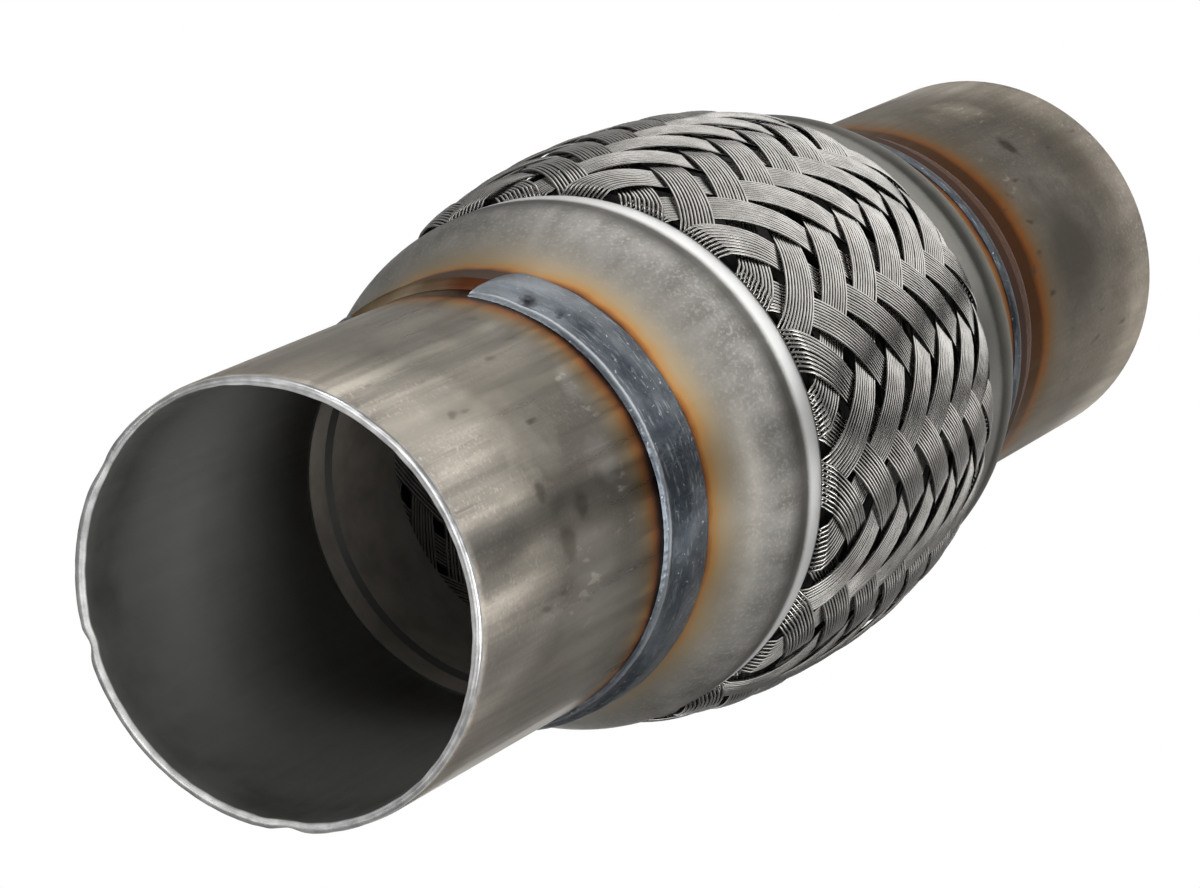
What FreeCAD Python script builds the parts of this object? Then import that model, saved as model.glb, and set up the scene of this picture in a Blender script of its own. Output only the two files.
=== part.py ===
import FreeCAD, Part
import math
import os

import Sketcher

# Exhaust flex pipe. All sizes are in millimetres and all angles in degrees.
# The pipe's axis is Z and it stands on the rear stub's end. Each end is drawn once, in its own frame:
# zero at the end face of its stub, with Z pointing into the pipe.
SIZES = {
    "overall_length": 203.0,
    # Straight stubs
    "pipe_radius": 27.0,
    "pipe_wall": 1.5,
    "pipe_length": 51.0,
    "rim_bevel": 0.4,
    # End caps, pressed from sheet: a neck over the stub, an S-shaped flare and a lip that curls in
    "cap_wall": 1.2,
    "cap_fit": 0.05,
    "neck_overlap": 1.5,
    "neck_length": 4.5,
    "flare_length": 16.0,
    "flare_rise": 5.45,
    "shoulder_length": 3.0,
    "lip_length": 3.0,
    "lip_curl": 0.4,
    # Weld beads between stub and cap
    "weld_reach": 4.5,
    "weld_toe": 0.5,
    "weld_crown": 0.5,
    "weld_crown_radius": 40.0,
    "weld_cap_toe": 0.7,
    "root_weld_length": 1.4,
    "front_bead_angle": 320.0,
    "front_bead_turn_angle": 59.0,
    # Inner rings: a collar behind the stub and a sleeve in the liner's mouth
    "ring_gap": 0.1,
    "collar_fit": 0.1,
    "collar_length": 4.4,
    "collar_bore_step": 0.2,
    "sleeve_bore_step": 0.9,
    "sleeve_wall": 0.8,
    "sleeve_length": 15.5,
    # Liner braid
    "liner_fit": 0.1,
    "liner_wall": 1.2,
    "liner_setback": 1.0,
    "liner_gap_count": 8.0,
    "liner_gap_rows": 4.0,
    "liner_gap_width": 10.0,
    "liner_gap_height": 8.0,
    # Bellows
    "bellows_fit": 0.1,
    "bellows_wall": 0.5,
    "cuff_setback": 0.5,
    "convolution_count": 8.0,
    "convolution_clearance": 1.5,
    "convolution_height": 5.3,
    # Outer braid: a barrel wall with the relief of its ribbons and open gaps
    "braid_wall": 0.8,
    "ribbon_height": 0.8,
    "braid_tail_length": 13.0,
    "braid_tail_drop": 2.0,
    "lip_fit": 0.2,
    "barrel_shoulder": 3.9,
    "barrel_power": 10.0,
    "barrel_crown": 2.2,
    "braid_sector_count": 12.0,
    "ribbon_pitch": 7.8,
    "weave_turn_angle": -5.9,
    "weave_shift": -0.15,
    "gap_rows": 3.0,
    "gap_width": 2.4,
    "gap_height": 1.8,
}

SHEET_NAME = "Sizes"


class Length:
    """A size that knows both its value and its formula in the sheet's names."""

    def __init__(self, value, formula):
        self.value = value
        self.formula = formula

    def combine(self, other, sign, value):
        return Length(value, f"({self.formula} {sign} {other.formula})")

    def __add__(self, other):
        return self.combine(other, "+", self.value + other.value)

    def __sub__(self, other):
        return self.combine(other, "-", self.value - other.value)

    def __mul__(self, other):
        return self.combine(other, "*", self.value * other.value)

    def __truediv__(self, other):
        return self.combine(other, "/", self.value / other.value)


def size(name):
    return Length(SIZES[name], f"{SHEET_NAME}.{name}")


def number(value):
    return Length(value, str(value))


def half(length):
    return length / number(2.0)


def write_sheet(doc):
    sheet = doc.addObject("Spreadsheet::Sheet", SHEET_NAME)
    for row, (name, value) in enumerate(SIZES.items(), start=1):
        sheet.set(f"A{row}", name)
        sheet.set(f"B{row}", str(value))
        sheet.setAlias(f"B{row}", name)
    doc.recompute()
    return sheet


# Sketch outlines

def origin_plane(body, role):
    return next(f for f in body.Origin.OriginFeatures if f.Role == role)


def arc_through(start, end, radius, centre_on_left):
    """The short arc from start to end, with its centre on the given side of the way along."""
    chord = end - start
    across = FreeCAD.Vector(-chord.y, chord.x, 0).normalize()
    reach = math.sqrt(radius**2 - (chord.Length / 2) ** 2)
    centre = (start + end) / 2 + across * (reach if centre_on_left else -reach)
    first, last = (start, end) if centre_on_left else (end, start)
    first_angle = math.atan2(first.y - centre.y, first.x - centre.x)
    last_angle = math.atan2(last.y - centre.y, last.x - centre.x)
    circle = Part.Circle(centre, FreeCAD.Vector(0, 0, 1), radius)
    return Part.ArcOfCircle(circle, first_angle, last_angle)


def draw_outline(sketch, corners):
    """A closed outline. Each corner is (radius, height, bend) and bend shapes the edge that leaves it:
    None for a straight edge, or (arc radius, whether the centre is on the left of the way along)."""
    edges = []
    ends = []
    for index, (radius, height, bend) in enumerate(corners):
        next_radius, next_height, _ = corners[(index + 1) % len(corners)]
        start = FreeCAD.Vector(radius.value, height.value, 0)
        end = FreeCAD.Vector(next_radius.value, next_height.value, 0)
        if bend is None:
            edges.append(Part.LineSegment(start, end))
            ends.append((1, 2))
        else:
            edges.append(arc_through(start, end, bend[0].value, bend[1]))
            ends.append((1, 2) if bend[1] else (2, 1))
    sketch.addGeometry(edges, False)
    constraints = []
    for index in range(len(corners)):
        after = (index + 1) % len(corners)
        constraints.append(
            Sketcher.Constraint("Coincident", index, ends[index][1], after, ends[after][0])
        )
    formulas = []
    for index, (radius, height, bend) in enumerate(corners):
        point = (index, ends[index][0])
        places = [("DistanceX", radius)]
        if height.value == 0.0:
            constraints.append(Sketcher.Constraint("PointOnObject", *point, -1))
        else:
            places.append(("DistanceY", height))
        for kind, length in places:
            formulas.append((len(constraints), length.formula))
            constraints.append(Sketcher.Constraint(kind, -1, 1, *point, length.value))
        if bend is not None:
            formulas.append((len(constraints), bend[0].formula))
            constraints.append(Sketcher.Constraint("Radius", index, bend[0].value))
    sketch.addConstraint(constraints)
    for place, formula in formulas:
        sketch.setExpression(f"Constraints[{place}]", formula)


def turned_feature(body, name, corners, angle=None):
    """A revolution of an outline about the pipe's axis."""
    sketch = body.newObject("Sketcher::SketchObject", name + "_outline")
    sketch.AttachmentSupport = (origin_plane(body, "XZ_Plane"), [""])
    sketch.MapMode = "FlatFace"
    draw_outline(sketch, corners)
    turned = body.newObject("PartDesign::Revolution", name)
    turned.Profile = sketch
    turned.ReferenceAxis = (sketch, ["V_Axis"])
    turned.Angle = 360.0
    if angle is not None:
        turned.setExpression("Angle", angle.formula)
    return turned


def new_body(doc, label):
    body = doc.addObject("PartDesign::Body", label)
    body.Label = label
    return body


def place_at_front(body, turn=0.0):
    """Turns a piece drawn from its end face inwards over, so that its end face is at the pipe's top."""
    lean = math.radians(turn / 2)
    axis = FreeCAD.Vector(math.cos(lean), math.sin(lean), 0)
    top = FreeCAD.Vector(0, 0, SIZES["overall_length"])
    body.Placement = FreeCAD.Placement(top, FreeCAD.Rotation(axis, 180))
    body.setExpression("Placement.Base.z", size("overall_length").formula)


# Lengths that several pieces share

ZERO = number(0.0)
PIPE_BORE = size("pipe_radius") - size("pipe_wall")
NECK_BORE = size("pipe_radius") + size("cap_fit")
NECK_OUTSIDE = NECK_BORE + size("cap_wall")
NECK_START = size("pipe_length") - size("neck_overlap")
NECK_END = NECK_START + size("neck_length")
FLARE_END = NECK_END + size("flare_length")
SHOULDER_END = FLARE_END + size("shoulder_length")
CAP_END = SHOULDER_END + size("lip_length")
LIP_BORE = NECK_BORE + size("flare_rise") - size("lip_curl")
SLEEVE_BORE = PIPE_BORE - size("sleeve_bore_step")
SLEEVE_OUTSIDE = SLEEVE_BORE + size("sleeve_wall")
COLLAR_START = size("pipe_length") + size("ring_gap")
COLLAR_END = COLLAR_START + size("collar_length")
LINER_BORE = SLEEVE_OUTSIDE + size("liner_fit")
LINER_OUTSIDE = LINER_BORE + size("liner_wall")
LINER_START = COLLAR_END + size("liner_setback")
CUFF_BORE = LINER_OUTSIDE + size("bellows_fit")
CUFF_OUTSIDE = CUFF_BORE + size("bellows_wall")


# Stubs, caps, welds and rings

def make_pipe(doc, label):
    body = new_body(doc, label)
    bevel = size("rim_bevel")
    outside = size("pipe_radius")
    turned_feature(body, label + "_wall", [
        (PIPE_BORE + bevel, ZERO, None),
        (outside - bevel, ZERO, None),
        (outside, bevel, None),
        (outside, size("pipe_length"), None),
        (PIPE_BORE, size("pipe_length"), None),
        (PIPE_BORE, bevel, None),
    ])
    return body


def make_cap(doc, label):
    body = new_body(doc, label)
    rise = size("flare_rise")
    run = size("flare_length")
    bend = (run * run + rise * rise) / (number(4.0) * rise)
    curl = size("lip_curl")
    lip = size("lip_length")
    curl_bend = (lip * lip + curl * curl) / (number(2.0) * curl)
    middle = NECK_END + half(run)
    wall = size("cap_wall")
    turned_feature(body, label + "_pressing", [
        (NECK_OUTSIDE, NECK_START, None),
        (NECK_OUTSIDE, NECK_END, (bend, False)),
        (NECK_OUTSIDE + half(rise), middle, (bend, True)),
        (NECK_OUTSIDE + rise, FLARE_END, None),
        (NECK_OUTSIDE + rise, SHOULDER_END, (curl_bend, True)),
        (LIP_BORE + wall, CAP_END, None),
        (LIP_BORE, CAP_END, (curl_bend, False)),
        (NECK_BORE + rise, SHOULDER_END, None),
        (NECK_BORE + rise, FLARE_END, (bend, False)),
        (NECK_BORE + half(rise), middle, (bend, True)),
        (NECK_BORE, NECK_END, None),
        (NECK_BORE, NECK_START, None),
    ])
    return body


def make_weld(doc, label, bead_arc=None):
    """A wide flat bead over the neck's edge, on a thin root run that goes all the way round."""
    body = new_body(doc, label)
    outside = size("pipe_radius")
    start = NECK_START - size("weld_reach")
    toe = size("weld_toe")
    root = size("root_weld_length")
    turned_feature(body, label + "_root", [
        (outside, NECK_START - root, None),
        (NECK_OUTSIDE, NECK_START, None),
        (outside, NECK_START, None),
    ])
    turned_feature(body, label + "_bead", [
        (outside, start, None),
        (outside + toe, start + toe, (size("weld_crown_radius"), True)),
        (NECK_OUTSIDE + size("weld_crown"), NECK_END - size("weld_cap_toe"), None),
        (NECK_OUTSIDE, NECK_END, None),
        (NECK_OUTSIDE, NECK_START, None),
        (outside, NECK_START, None),
    ], bead_arc)
    return body


def make_ring(doc, label):
    body = new_body(doc, label)
    collar_outside = NECK_BORE - size("collar_fit")
    collar_bore = PIPE_BORE - size("collar_bore_step")
    sleeve_end = COLLAR_END + size("sleeve_length")
    step = collar_bore - SLEEVE_BORE
    turned_feature(body, label + "_sleeve", [
        (collar_bore, COLLAR_START, None),
        (collar_outside, COLLAR_START, None),
        (collar_outside, COLLAR_END, None),
        (SLEEVE_OUTSIDE, COLLAR_END, None),
        (SLEEVE_OUTSIDE, sleeve_end, None),
        (SLEEVE_BORE, sleeve_end, None),
        (SLEEVE_BORE, COLLAR_END, None),
        (collar_bore, COLLAR_END - step, None),
    ])
    return body


# Bellows

def make_bellows(doc):
    """One upright convolution, repeated between two plain cuffs."""
    body = new_body(doc, "bellows")
    wall = size("bellows_wall")
    count = size("convolution_count")
    crest = CUFF_OUTSIDE + size("convolution_height")
    first = CAP_END + size("convolution_clearance")
    last = size("overall_length") - first
    length = last - first
    pitch = length / count
    end = first + pitch
    near_flank = first + half(half(pitch)) - half(wall)
    far_flank = end - half(half(pitch)) + half(wall)
    turned = turned_feature(body, "bellows_convolution", [
        (CUFF_OUTSIDE, first, None),
        (CUFF_OUTSIDE, near_flank, None),
        (crest, near_flank, None),
        (crest, far_flank, None),
        (CUFF_OUTSIDE, far_flank, None),
        (CUFF_OUTSIDE, end, None),
        (CUFF_BORE, end, None),
        (CUFF_BORE, far_flank - wall, None),
        (crest - wall, far_flank - wall, None),
        (crest - wall, near_flank + wall, None),
        (CUFF_BORE, near_flank + wall, None),
        (CUFF_BORE, first, None),
    ])
    pattern = body.newObject("PartDesign::LinearPattern", "bellows_convolutions")
    pattern.Originals = [turned]
    pattern.Direction = (origin_plane(body, "Z_Axis"), [""])
    pattern.setExpression("Length", (length - pitch).formula)
    pattern.setExpression("Occurrences", count.formula)
    body.Tip = pattern
    near_end = LINER_START + size("cuff_setback")
    far_end = size("overall_length") - near_end
    for name, low, high in (
        ("rear_cuff", near_end, first),
        ("front_cuff", last, far_end),
    ):
        turned_feature(body, name, [
            (CUFF_BORE, low, None),
            (CUFF_OUTSIDE, low, None),
            (CUFF_OUTSIDE, high, None),
            (CUFF_BORE, high, None),
        ])
    return body


# Braids

AXIS_FOOT = FreeCAD.Vector(0, 0, 0)
AXIS_WAY = FreeCAD.Vector(0, 0, 1)
# Where the plain inside of the braid's wall bends, as shares of the way from its middle to a lip
WALL_BENDS = (0.0, 0.5, 0.85, 1.0)
# How far a gap's prism reaches, in wall thicknesses, to pass right through
GAP_DEPTH = 6
# The weave goes over two ribbons and under two, so it repeats after four columns of crossings
COLUMNS_PER_SECTOR = 4
# Height of a ribbon half-way between two crossings, by its place in the repeat: on top of both, going
# under, under both, coming up
SEGMENT_HEIGHTS = (1.0, 0.4, -0.15, 0.4)
CROSSING_HEIGHT = 0.95
RIBBON_EDGE_HEIGHT = 0.6
OPEN_CELL_HEIGHT = -0.5
# How near to a lip the relief may come, in half rows
LIP_CLEARANCE = 0.6
# How far a face's middle may be from a sector's side and still lie in it
SIDE_TOLERANCE = 1e-6


class Barrel:
    """The braid's wall under its ribbons: a steep shoulder at each lip and a shallow crown between."""

    def __init__(self):
        self.middle = SIZES["overall_length"] / 2
        self.reach = self.middle - CAP_END.value
        self.power = SIZES["barrel_power"]
        self.lip_radius = LIP_BORE.value - SIZES["lip_fit"] - SIZES["ribbon_height"]
        self.tail_slope = SIZES["braid_tail_drop"] / SIZES["braid_tail_length"]

    def radius(self, z):
        away = abs(z - self.middle)
        if away > self.reach:
            return self.lip_radius - self.tail_slope * (away - self.reach)
        share = away / self.reach
        shoulder = SIZES["barrel_shoulder"] * (1 - share**self.power)
        return self.lip_radius + shoulder + SIZES["barrel_crown"] * (1 - share**2)

    def point(self, turn, z, height):
        """The point at an angle in radians, a height up the axis and a height above the wall."""
        radius = self.radius(z) + height
        return FreeCAD.Vector(radius * math.cos(turn), radius * math.sin(turn), z)


def column_turn():
    """The angle from one column of crossings to the next, in radians."""
    return 2 * math.pi / int(SIZES["braid_sector_count"]) / COLUMNS_PER_SECTOR


def relief(half_column, half_row):
    """The weave's height at a node, as a share of a ribbon's. Nodes lie every half column and half row.
    Where both counts are even, whole columns and rows that add up to an even number meet at a crossing,
    and the others at an open cell. Where both are odd, the node is in the middle of a ribbon."""
    if half_column % 2 != half_row % 2:
        return RIBBON_EDGE_HEIGHT
    column = half_column // 2
    row = half_row // 2
    climbs = (column + row) % 2 == 0
    if half_column % 2 == 0:
        return CROSSING_HEIGHT if climbs else OPEN_CELL_HEIGHT
    return SEGMENT_HEIGHTS[(column if climbs else column + 2) % COLUMNS_PER_SECTOR]


def tail_heights(barrel):
    """The braid's two ends, which reach under the caps."""
    away = barrel.reach + SIZES["braid_tail_length"]
    return barrel.middle - away, barrel.middle + away


def outside_rows(barrel):
    """One sector's outside, as rows of points from the lower end to the upper."""
    half_pitch = SIZES["ribbon_pitch"] / 4
    level = barrel.middle + SIZES["weave_shift"]
    low_tail, high_tail = tail_heights(barrel)
    clear = barrel.reach - LIP_CLEARANCE * half_pitch
    most = 2 * int(barrel.reach / half_pitch)
    inside = [
        (level + half_row * half_pitch, half_row)
        for half_row in range(-most, most)
        if abs(level + half_row * half_pitch - barrel.middle) < clear
    ]
    ends = [(low_tail, None), (barrel.middle - barrel.reach, None)]
    ends_above = [(barrel.middle + barrel.reach, None), (high_tail, None)]
    rows = []
    for z, half_row in ends + inside + ends_above:
        row = []
        for half_column in range(2 * COLUMNS_PER_SECTOR + 1):
            share = 0.0 if half_row is None else relief(half_column, half_row)
            turn = half_column * column_turn() / 2
            row.append(barrel.point(turn, z, SIZES["ribbon_height"] * share))
        rows.append(row)
    return rows


def inside_rows(barrel):
    """One sector's plain inside, as rows of points from the lower end to the upper."""
    up = [barrel.middle + share * barrel.reach for share in WALL_BENDS]
    down = [2 * barrel.middle - height for height in reversed(up[1:])]
    low_tail, high_tail = tail_heights(barrel)
    return [
        [
            barrel.point(column * column_turn(), z, -SIZES["braid_wall"])
            for column in range(COLUMNS_PER_SECTOR + 1)
        ]
        for z in [low_tail] + down + up + [high_tail]
    ]


def flat_face(corners):
    return Part.Face(Part.makePolygon(corners + corners[:1]))


def surface_faces(rows):
    """Plane triangles over rows of points. Each quarter's fold runs to the middle of its ribbon."""
    faces = []
    for row, (low, high) in enumerate(zip(rows, rows[1:])):
        for column in range(len(low) - 1):
            a, b, c, d = low[column], low[column + 1], high[column + 1], high[column]
            if (row + column) % 2 == 0:
                faces += [flat_face([a, b, c]), flat_face([a, c, d])]
            else:
                faces += [flat_face([a, b, d]), flat_face([b, c, d])]
    return faces


def closed_solid(faces):
    shell = Part.makeShell(faces)
    shell.sewShape()
    solid = Part.Solid(shell)
    if solid.Volume < 0:
        solid.reverse()
    return solid


def diamond_gap(radius, turn, z, width, height, depth):
    """A diamond prism that points outwards through the wall."""
    out = FreeCAD.Vector(math.cos(turn), math.sin(turn), 0)
    side = FreeCAD.Vector(-math.sin(turn), math.cos(turn), 0) * (width / 2)
    up = FreeCAD.Vector(0, 0, height / 2)
    centre = out * (radius - depth / 2) + FreeCAD.Vector(0, 0, z)
    return flat_face([centre - side, centre - up, centre + side, centre + up]).extrude(out * depth)


def gaps_in_sector(barrel):
    """The open cells between four ribbons, in a belt round the barrel's middle."""
    depth = GAP_DEPTH * SIZES["braid_wall"]
    width = SIZES["gap_width"]
    height = SIZES["gap_height"]
    rows = int(SIZES["gap_rows"])
    first = -round(2 * SIZES["weave_shift"] / SIZES["ribbon_pitch"]) - rows // 2
    gaps = []
    for row in range(first, first + rows):
        z = barrel.middle + SIZES["weave_shift"] + row * SIZES["ribbon_pitch"] / 2
        for column in range(COLUMNS_PER_SECTOR + 1):
            if (column + row) % 2:
                turn = column * column_turn()
                gaps.append(diamond_gap(barrel.radius(z), turn, z, width, height, depth))
    return gaps


def woven_sector(barrel):
    """One repeat of the weave, closed at its two sides, with its gaps cut."""
    outside = outside_rows(barrel)
    inside = inside_rows(barrel)
    faces = surface_faces(outside) + surface_faces(inside)
    for column in (0, -1):
        faces.append(flat_face([row[column] for row in outside] + [row[column] for row in inside[::-1]]))
    for end in (0, -1):
        faces.append(flat_face(outside[end] + inside[end][::-1]))
    return closed_solid(faces).cut(gaps_in_sector(barrel))


def on_side(face):
    """Whether a face lies in one of the two planes that bound the sector."""
    middle = face.CenterOfMass
    widest = COLUMNS_PER_SECTOR * column_turn()
    for turn in (0.0, widest):
        across = FreeCAD.Vector(-math.sin(turn), math.cos(turn), 0)
        if abs(middle.dot(across)) < SIDE_TOLERANCE:
            return True
    return False


def add_feature(doc, label, shape):
    feature = doc.addObject("Part::Feature", label)
    feature.Label = label
    feature.Shape = shape
    feature.Placement = FreeCAD.Placement()
    return feature


def make_outer_braid(doc):
    """One sector's faces, without its two sides, repeated round the axis and sewn into one solid."""
    sector = woven_sector(Barrel())
    count = int(SIZES["braid_sector_count"])
    faces = []
    for index in range(count):
        turn = SIZES["weave_turn_angle"] + index * 360.0 / count
        for face in sector.Faces:
            if not on_side(face):
                copy = face.copy()
                copy.rotate(AXIS_FOOT, AXIS_WAY, turn)
                faces.append(copy)
    return add_feature(doc, "outer_braid", closed_solid(faces))


def make_inner_braid(doc):
    """The liner: a tube of woven wire, drawn as one wall with staggered diamond gaps."""
    low = LINER_START.value
    length = SIZES["overall_length"] - 2 * low
    base = FreeCAD.Vector(0, 0, low)
    wall = Part.makeCylinder(LINER_OUTSIDE.value, length, base).cut(
        Part.makeCylinder(LINER_BORE.value, length, base)
    )
    count = int(SIZES["liner_gap_count"])
    rows = int(SIZES["liner_gap_rows"])
    clear = SIZES["overall_length"] - 2 * (COLLAR_END.value + SIZES["sleeve_length"])
    pitch = clear / rows
    depth = GAP_DEPTH * SIZES["liner_wall"]
    width = SIZES["liner_gap_width"]
    height = SIZES["liner_gap_height"]
    gaps = []
    for row in range(rows):
        z = SIZES["overall_length"] / 2 + (row - (rows - 1) / 2) * pitch
        for column in range(count):
            turn = 2 * math.pi / count * (column + 0.5 * (row % 2))
            gaps.append(diamond_gap(LINER_BORE.value, turn, z, width, height, depth))
    return add_feature(doc, "inner_braid", wall.cut(gaps))


def check_and_write(doc, pieces):
    for item in doc.Objects:
        if "Invalid" in item.State or "Error" in item.State:
            raise RuntimeError(f"{item.Name} failed: {item.State}")
    for piece in pieces:
        if piece.Shape.isNull() or not piece.Shape.isValid() or not piece.Shape.Solids:
            raise RuntimeError(f"{piece.Label} has no valid solid")
    os.makedirs("parts", exist_ok=True)
    for piece in pieces:
        piece.Shape.exportStep(f"parts/{piece.Label}.step")
        print(piece.Label, len(piece.Shape.Solids), round(piece.Shape.Volume, 1))


def main():
    doc = FreeCAD.newDocument("exhaust_flex_pipe")
    write_sheet(doc)
    pieces = []
    for end in ("rear", "front"):
        at_end = [
            make_pipe(doc, end + "_pipe"),
            make_cap(doc, end + "_cap"),
            make_ring(doc, end + "_inner_ring"),
        ]
        if end == "front":
            weld = make_weld(doc, end + "_weld", size("front_bead_angle"))
            place_at_front(weld, SIZES["front_bead_turn_angle"])
            for piece in at_end:
                place_at_front(piece)
        else:
            weld = make_weld(doc, end + "_weld")
        pieces += at_end + [weld]
    pieces.append(make_bellows(doc))
    pieces.append(make_outer_braid(doc))
    pieces.append(make_inner_braid(doc))
    doc.recompute()
    check_and_write(doc, pieces)


main()
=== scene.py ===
"""Looks of the exhaust flex pipe: woven wire, weld beads, raw cut rim, steel and studio."""

import math

import bpy
import numpy as np
from mathutils import Matrix, Vector

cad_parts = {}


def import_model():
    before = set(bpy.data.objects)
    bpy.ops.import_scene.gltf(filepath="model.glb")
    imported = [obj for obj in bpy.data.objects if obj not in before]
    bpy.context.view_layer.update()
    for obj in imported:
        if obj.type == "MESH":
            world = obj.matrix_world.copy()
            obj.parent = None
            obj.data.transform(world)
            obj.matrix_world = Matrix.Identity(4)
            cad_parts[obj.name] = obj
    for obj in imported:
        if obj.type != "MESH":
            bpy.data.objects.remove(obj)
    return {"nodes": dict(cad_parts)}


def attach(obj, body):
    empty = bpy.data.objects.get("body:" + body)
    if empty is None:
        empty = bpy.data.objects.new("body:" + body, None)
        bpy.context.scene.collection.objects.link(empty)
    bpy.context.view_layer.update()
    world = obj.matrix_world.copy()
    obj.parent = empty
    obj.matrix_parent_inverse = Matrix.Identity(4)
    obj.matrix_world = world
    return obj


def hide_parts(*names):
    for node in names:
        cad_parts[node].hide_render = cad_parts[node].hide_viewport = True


MM = 0.001
SEED = 7
# Range of a random phase, about a full turn.
PHASES = 6.28

# The part: its length, and the runs from an end to its weld and to its cap.
LENGTH = 203.0 * MM
MIDDLE = LENGTH / 2
STUB_REACH = 45 * MM
CAP_REACH = 54 * MM

# Camera, fitted to the photograph. Its turn is an axis times an angle.
CAMERA_PLACE = (0.32824, 0.0, 0.67471)
CAMERA_TURN = (-2.8444, 0.6595, 0.7810)
CAMERA_LENS = 151.8
SENSOR_WIDTH = 36.0
CAMERA_SIGHT = 20.0

# Barrel of the outer braid.
LIP_RADIUS = 33.4 * MM
BARREL_REACH = 25.5 * MM
BARREL_SHOULDER = 1.6 * MM
BARREL_CROWN = 2.2 * MM
BARREL_POWER = 10
BRAID_LIMIT = 37.95 * MM
# Where the wires dip under a lip, and how deep.
DIP_START = 25.0 * MM
DIP_RUN = 0.45 * MM
DIP_DEPTH = 1.95 * MM

# Weave of the outer braid: ribbons each way, their spacing and their wave.
RIBBONS = 24
RIBBON_STEP = 2 * math.pi / RIBBONS
RIBBON_PITCH = 7.8 * MM
RIBBON_ARCH = 0.1 * MM
RIBBON_SINK = 0.06 * MM
WEAVE_TURN = math.radians(-6.6)
WEAVE_SHIFT = MIDDLE - 2.1 * MM
WAVE_HEIGHT = 0.5 * MM
WAVE_STEEPNESS = 1.1
CROSSINGS_PER_WAVE = 4
# Wires of a ribbon.
WIRES_PER_RIBBON = 10
WIRE_RADIUS = 0.215 * MM
WIRE_SPACING = 0.565 * MM
WIRE_SIDES = 5
WIRE_STATIONS = 62
WIRE_REACH = BARREL_REACH + 1.5 * MM
# How much a wire's stations crowd towards its ends.
CROWDING = 0.55
# Where the wave fades out under a lip, and how deep the wires lie there.
FADE_END = BARREL_REACH + 1 * MM
FADE_RUN = 2 * MM
FADE_SINK = 0.35 * MM
# How far ribbons and wires stray.
RIBBON_STRAY = 0.10 * MM
WIRE_STRAY = 0.012 * MM
WIRE_LIFT = 0.005 * MM
WIRE_WANDER = 0.04 * MM
WANDER_RUN = 9 * MM

# Liner inside the bellows: ribbons each way and their wires.
LINER_EDGE = 57.5 * MM
LINER_RADIUS = 26.1 * MM
LINER_RIBBONS = 16
LINER_STEP = 2 * math.pi / LINER_RIBBONS
LINER_PITCH = 9.0 * MM
LINER_WAVE = 0.28 * MM
LINER_WIRES = 8
LINER_WIRE_RADIUS = 0.26 * MM
LINER_SPACING = 0.8 * MM
LINER_STRAY = 0.06 * MM
LINER_SIDES = 4
LINER_STATIONS = 44

# Front stub, with a raw cut rim.
PIPE_OUTSIDE = 27.0 * MM
PIPE_BORE = 25.5 * MM
PIPE_LENGTH = 51.0 * MM
PIPE_STEPS = 360
# Waves of the cut edge, and what the slow and the quick ones move.
SLOW_ORDERS = range(2, 9)
QUICK_ORDERS = range(14, 60, 5)
QUICK_LEVEL = 0.5
DROP_SLOW, DROP_QUICK, DROP_LIMIT = 0.10 * MM, 0.012 * MM, 0.7 * MM
BURR_SLOW, BURR_QUICK, BURR_START = 0.16 * MM, 0.02 * MM, 0.1 * MM
BURR_LIMITS = (-0.35 * MM, 0.45 * MM)
CHAMFER, CHAMFER_QUICK, CHAMFER_LIMIT = 0.12 * MM, 0.02 * MM, 0.2 * MM
# Bent places of the rim: angle and half width in degrees, and depth as a share.
KINKS = ((168, 3, 1.0), (-117, 4, 1.0), (120, 5, 0.5), (30, 6, 0.4))
# What a full bend takes off the edge, the inner and outer lip and the wall.
KINK_DROP, KINK_INNER, KINK_OUTER, KINK_WALL = 0.25 * MM, 0.25 * MM, 0.5 * MM, 0.35 * MM

# Weld beads: run from the stub's side and radius, both in mm.
FRONT_BEAD = (
    (0.0, 27.02), (0.25, 27.35), (0.6, 27.62), (1.0, 27.58), (1.4, 27.48), (2.4, 27.75),
    (3.4, 28.25), (4.2, 28.62), (5.0, 28.72), (8.2, 28.78), (8.6, 28.7), (9.0, 28.35),
)
ROOT_BEAD = ((0.0, 27.03), (0.3, 27.4), (0.9, 28.0), (1.4, 28.26))
REAR_BEAD = (
    (0.0, 27.0), (0.3, 27.07), (5.2, 27.07), (5.5, 27.15), (6.0, 27.8), (6.6, 28.3),
    (7.6, 28.6), (8.5, 28.6), (9.0, 28.3),
)
BEAD_RADIUS = 28 * MM
# Waves on a bead: order round the axis and radians a metre along it.
BEAD_WAVES = ((9, 300), (23, 900), (41, -1400), (67, 2100), (97, -2600), (140, 3100))
# Rows, steps round and roughness of the front bead and of a ring.
FRONT_ROWS, FRONT_STEPS, FRONT_ROUGHNESS = 34, 700, 0.045 * MM
RING_ROWS, RING_STEPS, RING_ROUGHNESS = 26, 720, 0.03 * MM
# Front bead in degrees: its rounded tip's place, its sweep and the runs of its two ends.
BEAD_END = 59
BEAD_SWEEP = 320
TIP_RUN = 7
TAIL_RUN = 6
TIP_NARROWING = 0.85
TIP_FLATTENING = 0.75
# Dark places in the front bead: angle in degrees, height, size and darkness.
CRATERS = ((44.6, 155.8 * MM, 1.3 * MM, 0.95), (35.7, 155.3 * MM, 0.5 * MM, 0.7))
CRATER_DEPTH = 0.35 * MM
# Joint left bare beyond the front bead's tip.
ROOT_ARC = (math.radians(BEAD_END - 4), math.radians(BEAD_END + 44))
ROOT_REACH = 48.1 * MM

# Noise in the steels, in waves a metre: across the axis and along it.
STREAKS = (520.0, 16.0)
FINE_STREAKS = (1500.0, 60.0)
BROAD_STREAKS = (70.0, 22.0)
CHIPS = (800.0, 330.0)
STAINS = (330.0, 120.0)
CAP_STREAKS = (300.0, 90.0)
BEAD_LINES = (420.0, 2600.0)
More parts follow.
